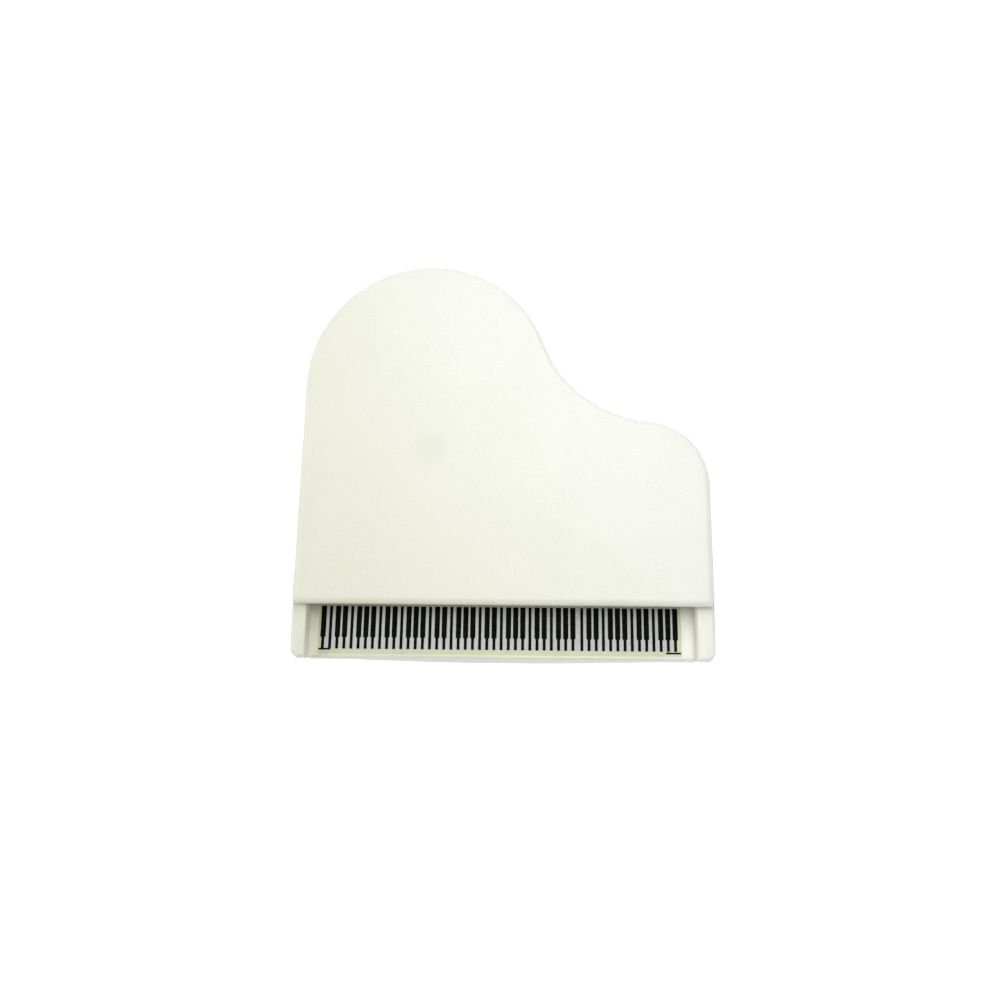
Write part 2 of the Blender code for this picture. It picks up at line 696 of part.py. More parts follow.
def make_pedal(label, shift):
    """A pedal: a flat bar that widens to a round toe."""
    u = LYRE_U + shift
    back = LYRE_V - BOX_HALF_DEPTH - FIT
    toe_v = back - PEDAL_LENGTH + TOE_RADIUS
    neck = PEDAL_HALF_WIDTH
    outline = [(u - neck, back), (u - neck, toe_v + 1.05), (u - TOE_RADIUS, toe_v)]
    outline += corner(u, toe_v, TOE_RADIUS, 180.0, 360.0, 8)[1:-1]
    outline += [(u + TOE_RADIUS, toe_v), (u + neck, toe_v + 1.05), (u + neck, back)]
    pedal = slab(f"pedal_{label}", outline, 3.45, 3.95, BRASS)
    shade_round(pedal)
    return pedal


def make_lyre():
    """The pedal lyre: top block, two posts, pedal box, three pedals and two stays."""
    top = block("lyre_block", (LYRE_U - 4.4, LYRE_U + 4.4), (LYRE_V - 1.6, LYRE_V + 1.6),
                (LYRE_BLOCK_LOW, CASE_BOTTOM - FIT), IVORY)
    box = block("pedal_box", (LYRE_U - BOX_HALF_WIDTH, LYRE_U + BOX_HALF_WIDTH),
                (LYRE_V - BOX_HALF_DEPTH, LYRE_V + BOX_HALF_DEPTH), (BOX_LOW, BOX_HIGH), IVORY)
    for piece in (top, box):
        bevel(piece, 0.25, 2)
        shade_round(piece)
    for side, label in ((-1, "left"), (1, "right")):
        post_place = (LYRE_U + side * POST_SPREAD, LYRE_V, BOX_HIGH + FIT)
        turned(f"lyre_post_{label}", post_place, LYRE_PROFILE, IVORY, 16)
        u = LYRE_U + side * STAY_SPREAD
        foot = at(u, LYRE_V + BOX_HALF_DEPTH + 0.2, 4.0)
        head = at(u, LYRE_V + 11.5, CASE_BOTTOM - 0.45)
        stay = rod(f"lyre_stay_{label}", foot, head, STAY_RADIUS, BRASS, PIANO, 12)
        shade_round(stay)
    for label, shift in PEDALS.items():
        make_pedal(label, shift)


# ---- assembly ----------------------------------------------------------------------------------

make_case_rim()
make_case_floor()
make_soundboard()
make_string_plate()
make_bridge()
make_key_bed()
make_key_slip()
make_cheek("cheek_left", KEY_LEFT, LABEL_LEFT - HAIRLINE)
make_cheek("cheek_right", LABEL_RIGHT + HAIRLINE, KEY_RIGHT)
make_key_label()
make_fallboard()
lid_axis = joint_empty("lid_hinge_axis", at(HINGE_U, HINGE_STATIONS[0], HINGE_Z))
lid_pieces = [make_lid(), make_prop_cup()]
for hinge_label, hinge_station in zip(("front", "rear"), HINGE_STATIONS):
    lid_pieces.append(make_hinge(hinge_label, hinge_station)[1])
carry(lid_axis, *lid_pieces)
make_prop_bracket()
prop_axis = joint_empty("prop_pivot_axis", at(PROP_U, PROP_PIVOT_V, PROP_Z))
carry(prop_axis, make_prop())
make_legs()
make_lyre()
bpy.context.view_layer.update()
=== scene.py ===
"""Looks for the miniature grand piano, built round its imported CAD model.

Lengths are in millimetres, in the piano's own drawing coordinates: u runs right from the lid's
spine edge, v runs back from the lid's front edge, and z runs up from the floor.  at() turns a
drawing point into a position in metres in the shared frame.
"""

import math

import bmesh
import bpy
from mathutils import Euler, Matrix, Vector


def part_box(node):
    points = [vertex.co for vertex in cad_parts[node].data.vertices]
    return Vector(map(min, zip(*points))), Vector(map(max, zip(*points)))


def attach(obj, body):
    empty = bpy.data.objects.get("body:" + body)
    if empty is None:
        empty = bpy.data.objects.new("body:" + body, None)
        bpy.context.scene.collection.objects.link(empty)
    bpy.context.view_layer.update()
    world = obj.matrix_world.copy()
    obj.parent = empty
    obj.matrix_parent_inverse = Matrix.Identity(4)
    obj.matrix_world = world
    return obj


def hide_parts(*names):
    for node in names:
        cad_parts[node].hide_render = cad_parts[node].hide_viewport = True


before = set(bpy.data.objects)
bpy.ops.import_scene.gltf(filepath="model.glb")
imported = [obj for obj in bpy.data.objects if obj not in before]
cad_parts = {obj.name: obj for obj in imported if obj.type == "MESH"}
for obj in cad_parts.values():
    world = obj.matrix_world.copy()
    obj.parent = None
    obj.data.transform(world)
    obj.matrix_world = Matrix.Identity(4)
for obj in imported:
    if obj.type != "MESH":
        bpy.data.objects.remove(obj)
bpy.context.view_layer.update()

MM = 0.001
LID_LOW, LID_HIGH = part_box("lid")
CASE_LOW, CASE_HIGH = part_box("case_rim")
LABEL_LOW, LABEL_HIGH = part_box("key_label")
SLIP_LOW, SLIP_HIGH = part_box("key_slip")
BRIDGE_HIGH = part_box("bridge")[1]


def at(u, v, z=0.0):
    """A drawing point as a position in metres."""
    return Vector((LID_LOW.x + u * MM, LID_LOW.y + v * MM, z * MM))


def drawn(point):
    """A position in metres as a drawing point."""
    return (point.x - LID_LOW.x) / MM, (point.y - LID_LOW.y) / MM, point.z / MM


# ---- driving dimensions --------------------------------------------------------------------------

LID_WIDTH = (LID_HIGH.x - LID_LOW.x) / MM
LID_BOTTOM = LID_LOW.z / MM
LID_TOP = LID_HIGH.z / MM
CASE_LEFT, ARM_FRONT, CASE_BOTTOM = drawn(CASE_LOW)
CASE_RIGHT, _, CASE_TOP = drawn(CASE_HIGH)
CASE_MARGIN = -CASE_LEFT
WALL = 1.95
RIGHT_ARM_WIDTH = 2.4
ARM_TOP = 35.7
ARM_STEP_BACK = 0.7
ARM_SCROLL = 1.6
ARM_ROUND = 0.38
NOSE_FOOT = 34.8
ARM_CORNER_RADIUS = 1.2
FALLBOARD_BACK = 2.3
KEY_TOP = SLIP_HIGH.z / MM
PLATE_TOP = 31.0
HINGE_Z = 35.95
HINGE_STATIONS = (8.0, 26.0)
HINGE_LENGTH = 6.0
HINGE_FIT = 0.1
SMOOTH_ANGLE = 35.0         # in degrees; a sharper edge keeps its crease
ROUND_ANGLE = 50.0          # the same for wires and turned or cast pieces, whose facets are coarser

# The outline: the spine's length, then (radius, turn in degrees, straight after it) for each arc.
SPINE_RUN = 33.0
ARCS = ((18.9, -50.0, 0.0), (17.3, -107.5, 3.0477), (18.1, 61.5, 0.0), (9.1, -84.0, 0.0))


def side_path(offset, step=2.0):
    """The outline at a distance outside the lid's edge, from the spine to the right cheek."""
    u, v, heading = -offset, SPINE_RUN, 90.0
    points = [(u, v)]
    for radius, turn, run in ARCS:
        radius = radius + offset if turn < 0 else radius - offset
        steps = max(2, round(abs(turn) / step))
        chord = 2 * radius * math.sin(math.radians(abs(turn) / steps / 2))
        for _ in range(steps):
            middle = math.radians(heading + turn / steps / 2)
            u += chord * math.cos(middle)
            v += chord * math.sin(middle)
            heading += turn / steps
            points.append((u, v))
        if run:
            u += run * math.cos(math.radians(heading))
            v += run * math.sin(math.radians(heading))
            points.append((u, v))
    return points


def corner(centre_u, centre_v, radius, start, end, steps=6):
    """Points of a round corner, from one direction to another in degrees."""
    angles = [math.radians(start + (end - start) * i / steps) for i in range(steps + 1)]
    return [(centre_u + radius * math.cos(a), centre_v + radius * math.sin(a)) for a in angles]


def reach(u, offset):
    """The largest v of the outline at this offset, at a given u."""
    best = 0.0
    path = side_path(offset)
    for (u0, v0), (u1, v1) in zip(path, path[1:]):
        if min(u0, u1) <= u <= max(u0, u1) and u0 != u1:
            best = max(best, v0 + (v1 - v0) * (u - u0) / (u1 - u0))
    return best


# ---- mesh helpers --------------------------------------------------------------------------------

def link(thing):
    """Put an object in the scene."""
    bpy.context.scene.collection.objects.link(thing)
    return thing


def from_bmesh(name, bm, angle=SMOOTH_ANGLE):
    """An object from a bmesh, with outward faces, smooth where its edges are soft."""
    bmesh.ops.recalc_face_normals(bm, faces=bm.faces)
    mesh = bpy.data.meshes.new(name)
    bm.to_mesh(mesh)
    bm.free()
    mesh.shade_smooth()
    mesh.set_sharp_from_angle(angle=math.radians(angle))
    return link(bpy.data.objects.new(name, mesh))


def dress(piece, material, body, slot, *replaced):
    """Give a piece its material and its body, and hide the CAD nodes it stands for; its slot is not
    used.
    """
    piece.data.materials.clear()
    piece.data.materials.append(material)
    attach(piece, body)
    if replaced:
        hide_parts(*replaced)


def baked(piece):
    """Apply a piece's modifiers, and drop the cutters that they used."""
    bpy.context.view_layer.update()
    graph = bpy.context.evaluated_depsgraph_get()
    mesh = bpy.data.meshes.new_from_object(piece.evaluated_get(graph))
    cutters = {modifier.object for modifier in piece.modifiers if modifier.type == "BOOLEAN"}
    piece.modifiers.clear()
    piece.data = mesh
    for cutter in cutters:
        bpy.data.objects.remove(cutter, do_unlink=True)
    mesh.shade_smooth()
    mesh.set_sharp_from_angle(angle=math.radians(SMOOTH_ANGLE))


def skin(bm, rings):
    """Closed faces over rings of positions that match one to one, added to a bmesh."""
    rows = [[bm.verts.new(point) for point in ring] for ring in rings]
    count = len(rows[0])
    for lower, upper in zip(rows, rows[1:]):
        for i in range(count):
            j = (i + 1) % count
            bm.faces.new((lower[i], lower[j], upper[j], upper[i]))
    bm.faces.new(rows[0])
    bm.faces.new(rows[-1])


def loft(name, rings, angle=SMOOTH_ANGLE):
    """A closed piece over rings of positions that match one to one."""
    bm = bmesh.new()
    skin(bm, rings)
    return from_bmesh(name, bm, angle)


def prism(name, outline, low, high, place=at):
    """A closed prism over an outline, between two heights."""
    return loft(name, [[place(a, b, z) for a, b in outline] for z in (low, high)])


def box_outline(u, v):
    """A rectangle between two values of u and two of v."""
    return [(u[0], v[0]), (u[1], v[0]), (u[1], v[1]), (u[0], v[1])]


def subtract(piece, cutter):
    """Cut a cutter's volume out of a piece, once it is baked."""
    modifier = piece.modifiers.new("cut", "BOOLEAN")
    modifier.object = cutter
    modifier.solver = "EXACT"


def soften(piece, width, segments=3, angle=40.0, clamp=True):
    """Round a piece's sharp edges, with a width in mm."""
    modifier = piece.modifiers.new("soft_edges", "BEVEL")
    modifier.width = width * MM
    modifier.segments = segments
    modifier.limit_method = "ANGLE"
    modifier.angle_limit = math.radians(angle)
    modifier.use_clamp_overlap = clamp


def turned(name, centre, profile, sides=48):
    """A turned piece from a profile of (radius, height); the ends close on the axis."""
    bm = bmesh.new()
    rows = []
    for radius, z in profile:
        if radius == 0.0:
            rows.append([bm.verts.new(at(*centre, z))])
            continue
        ring = []
        for i in range(sides):
            a = 2 * math.pi * i / sides
            u, v = centre[0] + radius * math.cos(a), centre[1] + radius * math.sin(a)
            ring.append(bm.verts.new(at(u, v, z)))
        rows.append(ring)
    for lower, upper in zip(rows, rows[1:]):
        for i in range(sides):
            j = (i + 1) % sides
            if len(lower) == 1:
                bm.faces.new((lower[0], upper[j], upper[i]))
            elif len(upper) == 1:
                bm.faces.new((lower[i], lower[j], upper[0]))
            else:
                bm.faces.new((lower[i], lower[j], upper[j], upper[i]))
    return from_bmesh(name, bm, ROUND_ANGLE)


def tube(bm, start, end, radius, sides):
    """A capped round bar between two positions, added to a bmesh."""
    span = end - start
    turn = span.to_track_quat("Z", "Y").to_matrix().to_4x4()
    bmesh.ops.create_cone(bm, cap_ends=True, segments=sides, depth=span.length,
                          radius1=radius * MM, radius2=radius * MM,
                          matrix=Matrix.Translation((start + end) / 2) @ turn)


# ---- materials -----------------------------------------------------------------------------------

class Finish:
    """A Principled material and the few node patterns that this piano needs."""

    def __init__(self, name, colour, roughness, metallic=0.0, specular=0.5):
        self.material = bpy.data.materials.new(name)
        self.material.use_nodes = True
        self.nodes = self.material.node_tree.nodes
        self.shader = self.nodes["Principled BSDF"]
        self.shader.inputs["Base Color"].default_value = (*colour, 1.0)
        self.shader.inputs["Roughness"].default_value = roughness
        self.shader.inputs["Metallic"].default_value = metallic
        self.shader.inputs["Specular IOR Level"].default_value = specular
        self.place = self.nodes.new("ShaderNodeTexCoord").outputs["Object"]

    def join(self, source, target):
        self.material.node_tree.links.new(source, target)

    def noise(self, scale, detail=3.0, roughness=0.5, stretch=None):
        """Noise over positions in metres, drawn out along an axis where its stretch is small."""
        node = self.nodes.new("ShaderNodeTexNoise")
        node.inputs["Scale"].default_value = scale
        node.inputs["Detail"].default_value = detail
        node.inputs["Roughness"].default_value = roughness
        source = self.place
        if stretch:
            mapping = self.nodes.new("ShaderNodeMapping")
            mapping.inputs["Scale"].default_value = stretch
            self.join(self.place, mapping.inputs["Vector"])
            source = mapping.outputs["Vector"]
        self.join(source, node.inputs["Vector"])
        return node.outputs["Fac"]

    def ramp(self, source, *stops):
        """A colour ramp of (position, colour) stops."""
        node = self.nodes.new("ShaderNodeValToRGB")
        elements = node.color_ramp.elements
        while len(elements) < len(stops):
            elements.new(0.5)
        for element, (position, colour) in zip(elements, stops):
            element.position = position
            element.color = (*colour, 1.0)
        self.join(source, node.inputs["Fac"])
        return node.outputs["Color"]

    def spread(self, source, low, high, start=0.3, end=0.7):
        """A source between start and end, spread over low to high."""
        node = self.nodes.new("ShaderNodeMapRange")
        node.inputs["From Min"].default_value = start
        node.inputs["From Max"].default_value = end
        node.inputs["To Min"].default_value = low
        node.inputs["To Max"].default_value = high
        self.join(source, node.inputs["Value"])
        return node.outputs["Result"]

    def disc(self, centre, radius, blur):
        """1 inside an upright cylinder about a position in metres, falling to 0 outside it."""
        mapping = self.nodes.new("ShaderNodeMapping")
        mapping.vector_type = "POINT"
        mapping.inputs["Location"].default_value = (-centre.x, -centre.y, 0.0)
        mapping.inputs["Scale"].default_value = (1.0, 1.0, 0.0)
        self.join(self.place, mapping.inputs["Vector"])
        length = self.nodes.new("ShaderNodeVectorMath")
        length.operation = "LENGTH"
        self.join(mapping.outputs["Vector"], length.inputs[0])
        start, end = (radius - blur) * MM, (radius + blur) * MM
        return self.spread(length.outputs["Value"], 1.0, 0.0, start, end)

    def along(self, direction, start, end):
        """0 to 1 between two distances in mm along a direction in plan, from the middle."""
        node = self.nodes.new("ShaderNodeVectorMath")
        node.operation = "DOT_PRODUCT"
        node.inputs[1].default_value = (direction[0] / MM, direction[1] / MM, 0.0)
        self.join(self.place, node.inputs[0])
        return self.spread(node.outputs["Value"], 0.0, 1.0, start, end)

    def times(self, source, number):
        """A source multiplied by a number."""
        node = self.nodes.new("ShaderNodeMath")
        node.operation = "MULTIPLY"
        self.join(source, node.inputs[0])
        node.inputs[1].default_value = number
        return node.outputs["Value"]

    def blend(self, factor, first, second, mode="MIX"):
        """Two colours mixed; each of the three values is a source, a number or a colour."""
        node = self.nodes.new("ShaderNodeMix")
        node.data_type = "RGBA"
        node.blend_type = mode
        factor_socket, first_socket, second_socket = (node.inputs[i] for i in (0, 6, 7))
        for socket, value in ((factor_socket, factor), (first_socket, first),
                              (second_socket, second)):
            if isinstance(value, tuple):
                socket.default_value = (*value, 1.0)
            elif isinstance(value, (int, float)):
                socket.default_value = value
            else:
                self.join(value, socket)
        return node.outputs[2]

    def colour(self, source):
        self.join(source, self.shader.inputs["Base Color"])

    def rough(self, source, low, high):
        self.join(self.spread(source, low, high), self.shader.inputs["Roughness"])

    def bump(self, source, distance, strength=1.0):
        """Relief with a depth in mm, on top of any relief that is already there."""
        node = self.nodes.new("ShaderNodeBump")
        node.inputs["Distance"].default_value = distance * MM
        node.inputs["Strength"].default_value = strength
        self.join(source, node.inputs["Height"])
        if self.shader.inputs["Normal"].links:
            self.join(self.shader.inputs["Normal"].links[0].from_socket, node.inputs["Normal"])
        self.join(node.outputs["Normal"], self.shader.inputs["Normal"])


WHITE = (1.0, 1.0, 1.0)
IVORY = (0.80, 0.803, 0.725)
# Painted shade and painted light on the ivory, in the next two colours: darker and yellower towards
# the front of the bass end, lighter towards the treble end and the tail.
IVORY_SHADED = (0.725, 0.731, 0.615)
IVORY_LIT = (0.833, 0.834, 0.785)
LID_MARK_COLOUR = (0.715, 0.725, 0.62)
PAINTED_LIGHT_WAY = (0.75, 0.66)               # the way in plan from painted shade to painted light
PAINTED_LIGHT_SPAN = (-28.0, 16.0)
# Darker round marks painted on the lid: a drawing point, radius, blur and strength for each. The
# large faint disc over the front is a painted reflection.
LID_MARKS = (
    ((18.4, 22.4), 2.3, 0.7, 0.8),
    ((7.6, 37.0), 2.3, 0.9, 0.25),
    # a painted reflection: the large faint dark disc over the front of the lid
    ((32.1, -4.3), 16.9, 0.35, 0.16),
)


def ivory(name, roughness=0.36):
    """Moulded ivory plastic, with painted shade: darker and yellower towards the bass end of the
    keys and the front, lighter towards the treble end and the tail.

    Over that lie a faint cloudiness, uneven gloss and a skin of fine mould texture.
    """
    finish = Finish(name, IVORY, roughness, 0.0, 0.35)
    # Painted shade and light: a gradient in plan that stands in for the lamps' falloff, darker at
    # the front bass corner.
    painted_shade_gradient = finish.blend(finish.along(PAINTED_LIGHT_WAY, *PAINTED_LIGHT_SPAN), IVORY_SHADED, IVORY_LIT)
    cloud = finish.ramp(finish.noise(60.0, 3.0, 0.55),
                        (0.25, (0.975, 0.975, 0.955)), (0.75, WHITE))
    speck = finish.ramp(finish.noise(2600.0, 2.0), (0.3, (0.965, 0.965, 0.955)), (0.55, WHITE))
    clouded = finish.blend(1.0, painted_shade_gradient, cloud, "MULTIPLY")
    finish.tint = finish.blend(1.0, clouded, speck, "MULTIPLY")
    finish.colour(finish.tint)
    finish.rough(finish.noise(240.0, 4.0), roughness - 0.06, roughness + 0.08)
    finish.bump(finish.noise(1500.0, 3.0), 0.012, 0.35)
    finish.bump(finish.noise(90.0, 2.0), 0.05, 0.25)
    return finish


def ivory_lid():
    """The lid's plastic, with darker round marks painted on it; the large faint disc over the front
    is a painted reflection.
    """
    finish = ivory("ivory_plastic_lid", 0.42)
    marked = finish.tint
    for (u, v), radius, blur, strength in LID_MARKS:
        mark = finish.times(finish.disc(at(u, v), radius, blur), strength)
        marked = finish.blend(mark, marked, LID_MARK_COLOUR)
    finish.colour(marked)
    return finish


def paper():
    """Coated label stock: cream, with a faint fibre."""
    finish = Finish("label_paper_cream", (0.58, 0.59, 0.42), 0.42, 0.0, 0.4)
    finish.colour(finish.ramp(finish.noise(900.0, 4.0, 0.6),
                              (0.3, (0.555, 0.565, 0.39)), (0.7, (0.61, 0.62, 0.44))))
    finish.rough(finish.noise(400.0), 0.36, 0.5)
    finish.bump(finish.noise(3000.0, 2.0), 0.004, 0.4)
    return finish


def ink(name, dark, light, roughness):
    """Printed ink, slightly uneven where the screen starved."""
    finish = Finish(name, dark, roughness, 0.0, 0.03)
    finish.colour(finish.ramp(finish.noise(2200.0, 3.0, 0.65), (0.35, dark), (0.75, light)))
    finish.rough(finish.noise(700.0), roughness - 0.06, roughness + 0.08)
    return finish


def gold():
    """Gold paint on moulded plastic: fine metallic flake and an uneven coat."""
    finish = Finish("gold_paint_flake", (0.62, 0.42, 0.15), 0.36, 0.85)
    finish.colour(finish.ramp(finish.noise(1800.0, 3.0, 0.7),
                              (0.3, (0.50, 0.33, 0.11)), (0.7, (0.74, 0.53, 0.22))))
    finish.rough(finish.noise(500.0, 4.0), 0.3, 0.48)
    finish.bump(finish.noise(2400.0, 2.0), 0.01, 0.3)
    return finish


def metal(name, colour, light, roughness=0.32):
    """Polished metal with fine scratches and slight tarnish."""
    finish = Finish(name, colour, roughness, 1.0)
    finish.colour(finish.ramp(finish.noise(350.0, 4.0, 0.6), (0.3, colour), (0.75, light)))
    finish.rough(finish.noise(1200.0, 3.0, 0.6), roughness - 0.03, roughness + 0.1)
    finish.bump(finish.noise(2500.0, 2.0), 0.002, 0.2)
    return finish


def wood(name, dark, light, stretch, roughness=0.42):
    """Varnished wood with a straight grain."""
    finish = Finish(name, light, roughness, 0.0, 0.45)
    grain = finish.noise(420.0, 5.0, 0.62, stretch)
    pores = finish.noise(2600.0, 2.0, 0.5, stretch)
    tone = finish.ramp(grain, (0.32, dark), (0.68, light))
    flecks = finish.ramp(pores, (0.3, (0.9, 0.86, 0.82)), (0.5, WHITE))
    finish.colour(finish.blend(1.0, tone, flecks, "MULTIPLY"))
    finish.rough(grain, roughness - 0.08, roughness + 0.1)
    finish.bump(grain, 0.02, 0.25)
    return finish


def felt(name, colour, light):
    """Dyed felt: deep fuzz, no gloss, a soft sheen."""
    finish = Finish(name, colour, 0.95, 0.0, 0.1)
    finish.colour(finish.ramp(finish.noise(2200.0, 4.0, 0.7), (0.3, colour), (0.7, light)))
    finish.shader.inputs["Sheen Weight"].default_value = 0.4
    finish.bump(finish.noise(3200.0, 3.0), 0.05, 0.7)
    return finish


ivory_case = ivory("ivory_plastic_case").material
ivory_top = ivory_lid().material
cream = paper().material
black_ink = ink("ink_black", (0.0012, 0.0012, 0.001), (0.006, 0.006, 0.005), 0.55).material
grey_ink = ink("ink_key_grey", (0.51, 0.525, 0.50), (0.60, 0.61, 0.59), 0.45).material
gold_paint = gold().material
brass = metal("brass_polished", (0.70, 0.50, 0.21), (0.85, 0.66, 0.34)).material
steel = metal("steel_wire", (0.55, 0.55, 0.56), (0.75, 0.75, 0.76), 0.31).material
copper = metal("copper_wound_wire", (0.55, 0.26, 0.13), (0.78, 0.42, 0.24), 0.33).material
spruce = wood("spruce_soundboard", (0.48, 0.30, 0.14), (0.70, 0.50, 0.27),
              (14.0, 1.0, 14.0)).material
maple = wood("maple_bridge", (0.27, 0.14, 0.06), (0.44, 0.27, 0.13), (1.0, 10.0, 10.0)).material
red_felt = felt("felt_red", (0.30, 0.015, 0.02), (0.46, 0.04, 0.045)).material


def smooth_by_angle(angle):
    """A node group that shades a mesh smooth, except across edges sharper than an angle."""
    group = bpy.data.node_groups.new(f"smooth_under_{angle:.0f}", "GeometryNodeTree")
    group.interface.new_socket("Geometry", in_out="INPUT", socket_type="NodeSocketGeometry")
    group.interface.new_socket("Geometry", in_out="OUTPUT", socket_type="NodeSocketGeometry")
    nodes, links = group.nodes, group.links
    start, finish = nodes.new("NodeGroupInput"), nodes.new("NodeGroupOutput")
    faces = nodes.new("GeometryNodeSetShadeSmooth")
    edges = nodes.new("GeometryNodeSetShadeSmooth")
    edges.domain = "EDGE"
    bend, test = nodes.new("GeometryNodeInputMeshEdgeAngle"), nodes.new("FunctionNodeCompare")
    test.operation = "LESS_THAN"
    test.inputs["B"].default_value = math.radians(angle)
    links.new(bend.outputs["Unsigned Angle"], test.inputs["A"])
    links.new(start.outputs["Geometry"], faces.inputs["Geometry"])
    links.new(faces.outputs["Geometry"], edges.inputs["Geometry"])
    links.new(test.outputs["Result"], edges.inputs["Shade Smooth"])
    links.new(edges.outputs["Geometry"], finish.inputs["Geometry"])
    return group


NODE_ANGLE = 30.0
NODE_SMOOTHING = smooth_by_angle(NODE_ANGLE)
WELD_REACH = 1e-6


def restore(node_name, material, width=0.0, segments=2):
    """Give a CAD node its finish, shared vertices, and softened edges."""
    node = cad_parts[node_name]
    node.data.materials.clear()
    node.data.materials.append(material)
    weld = node.modifiers.new("weld", "WELD")
    weld.merge_threshold = WELD_REACH
    if width:
        soften(node, width, segments, NODE_ANGLE)
    shade = node.modifiers.new("shading", "NODES")
    shade.node_group = NODE_SMOOTHING


# ---- stage: camera, lights, floor ----------------------------------------------------------------

CAMERA_PLACE = (32.743, -35.824, 198.834)
CAMERA_TURN = (17.5, 1.259, 0.823)
CAMERA_LENS = 43.2
CAMERA_SENSOR = 36.0
CAMERA_CLIP = (0.005, 10.0)     # in metres
SOFTBOX_SIZE = 110.0
# Each softbox's name, drawing point and power in watts.
SOFTBOXES = (
    ("main_softbox", (56.0, 4.0, 220.0), 0.172),
    ("back_softbox", (40.0, 105.0, 200.0), 0.116),
    ("left_softbox", (-130.0, 10.0, 180.0), 0.139),
)
# The sine of the height above the horizon, and the colour there.
WORLD_WALL = (0.2, (0.98, 0.99, 1.0))
WORLD_CEILING = (0.52, (0.045, 0.047, 0.05))
WORLD_STRENGTH = 1.15
FLOOR_HALF = 4.0                # in metres
FLOOR_COLOUR = (0.16, 0.16, 0.16)
FLOOR_GLOW = 0.98


def make_camera():
    """The camera at the photograph's viewing angle."""
    data = bpy.data.cameras.new("camera")
    data.lens = CAMERA_LENS
    data.sensor_width = CAMERA_SENSOR
    data.clip_start, data.clip_end = CAMERA_CLIP
    camera = link(bpy.data.objects.new("camera", data))
    camera.location = at(*CAMERA_PLACE)
    camera.rotation_euler = Euler([math.radians(a) for a in CAMERA_TURN], "XYZ")
    bpy.context.scene.camera = camera


def softbox(name, place, power):
    """A round softbox at a drawing point, aimed at the middle of the lid."""
    data = bpy.data.lights.new(name, "AREA")
    data.shape = "DISK"
    data.size = SOFTBOX_SIZE * MM
    data.energy = power
    light = link(bpy.data.objects.new(name, data))
    light.location = at(*place)
    away = light.location - Vector((0.0, 0.0, LID_TOP * MM))
    light.rotation_euler = away.to_track_quat("Z", "Y").to_euler()


def studio_world():
    """White studio walls that fade to a dim ceiling, so that the soft lights do the modelling."""
    world = bpy.data.worlds.new("studio")
    world.use_nodes = True
    nodes, links = world.node_tree.nodes, world.node_tree.links
    heading = nodes.new("ShaderNodeTexCoord")
    split = nodes.new("ShaderNodeSeparateXYZ")
    fade = nodes.new("ShaderNodeValToRGB")
    stops = (WORLD_WALL, WORLD_CEILING)
    for element, (position, colour) in zip(fade.color_ramp.elements, stops):
        element.position = position
        element.color = (*colour, 1.0)
    links.new(heading.outputs["Generated"], split.inputs["Vector"])
    links.new(split.outputs["Z"], fade.inputs["Fac"])
    links.new(fade.outputs["Color"], nodes["Background"].inputs["Color"])
    nodes["Background"].inputs["Strength"].default_value = WORLD_STRENGTH
    return world


def make_stage():
    """The camera, the lights, and a floor that glows a little, as overexposed paper does."""
    make_camera()
    bpy.context.scene.world = studio_world()
    for name, place, power in SOFTBOXES:
        softbox(name, place, power)
    bm = bmesh.new()
    bmesh.ops.create_grid(bm, x_segments=1, y_segments=1, size=FLOOR_HALF)
    floor = from_bmesh("floor", bm)
    finish = Finish("pale_floor", FLOOR_COLOUR, 0.9, 0.0, 0.1)
    finish.shader.inputs["Emission Color"].default_value = (*WHITE, 1.0)
    finish.shader.inputs["Emission Strength"].default_value = FLOOR_GLOW
    floor.data.materials.append(finish.material)
    bpy.context.scene.view_settings.view_transform = "Standard"


# ---- lid -----------------------------------------------------------------------------------------

LID_ROUND = 0.8
LID_ROUND_STEPS = 10
LID_CORNER = 0.5
LID_LEAST_CORNER = 0.02
# The inset and the rise of each ring of the lower edge, and the insets of the rings on the top.
LID_LOWER_EDGE = ((0.12, 0.0), (0.035, 0.035), (0.0, 0.12))
LID_TOP_RINGS = (2.0, 4.0)


def lid_ring(inset, z):
    """The lid's edge, drawn in by a distance, at a height."""
    radius = max(LID_CORNER - inset, LID_LEAST_CORNER)
    low, high = inset + radius, LID_WIDTH - inset - radius
    points = corner(low, low, radius, 270.0, 180.0) + side_path(-inset)
    points += corner(high, low, radius, 0.0, -90.0)
    return [at(u, v, z) for u, v in points]


def make_lid():
    """The lid in one moulding, with a rolled upper edge."""
    rings = [lid_ring(inset, LID_BOTTOM + rise) for inset, rise in LID_LOWER_EDGE]
    for i in range(LID_ROUND_STEPS + 1):
        a = math.radians(90.0 * i / LID_ROUND_STEPS)
        drop = LID_ROUND * (1 - math.sin(a))
        rings.append(lid_ring(LID_ROUND * (1 - math.cos(a)), LID_TOP - drop))
    rings += [lid_ring(inset, LID_TOP) for inset in LID_TOP_RINGS]
    lid = loft("lid_shell", rings)
    dress(lid, ivory_top, "lid", "ivory_plastic", "lid")


# ---- case ----------------------------------------------------------------------------------------

CASE_SKIN = 0.006           # how far the case stays inside its CAD sides
CASE_SOFT = 0.15
CASE_SOFT_ANGLE = 87.0      # the scroll's cut across the round corners stays crisp
BOX_CLEARANCE = 0.002
NOSE_STEPS = 10
SCROLL_STEPS = 12
SCROLL_LIP = 0.04
CUT_SPARE = 2.0             # how far a cutter runs on past what it cuts
FRONT_SPARE = 3.0
HINGE_SEAT = 0.75
ARM_EDGE_ANGLE = 50.0
ARM_ROUND_STEPS = 6
ON_PLANE = 1e-3


def on_arm_top(vertex):
    """Whether a vertex is on the top face of an arm, in front of its step."""
    _, v, z = drawn(vertex.co)
    return abs(z - ARM_TOP) < ON_PLANE and v < ARM_STEP_BACK + ON_PLANE


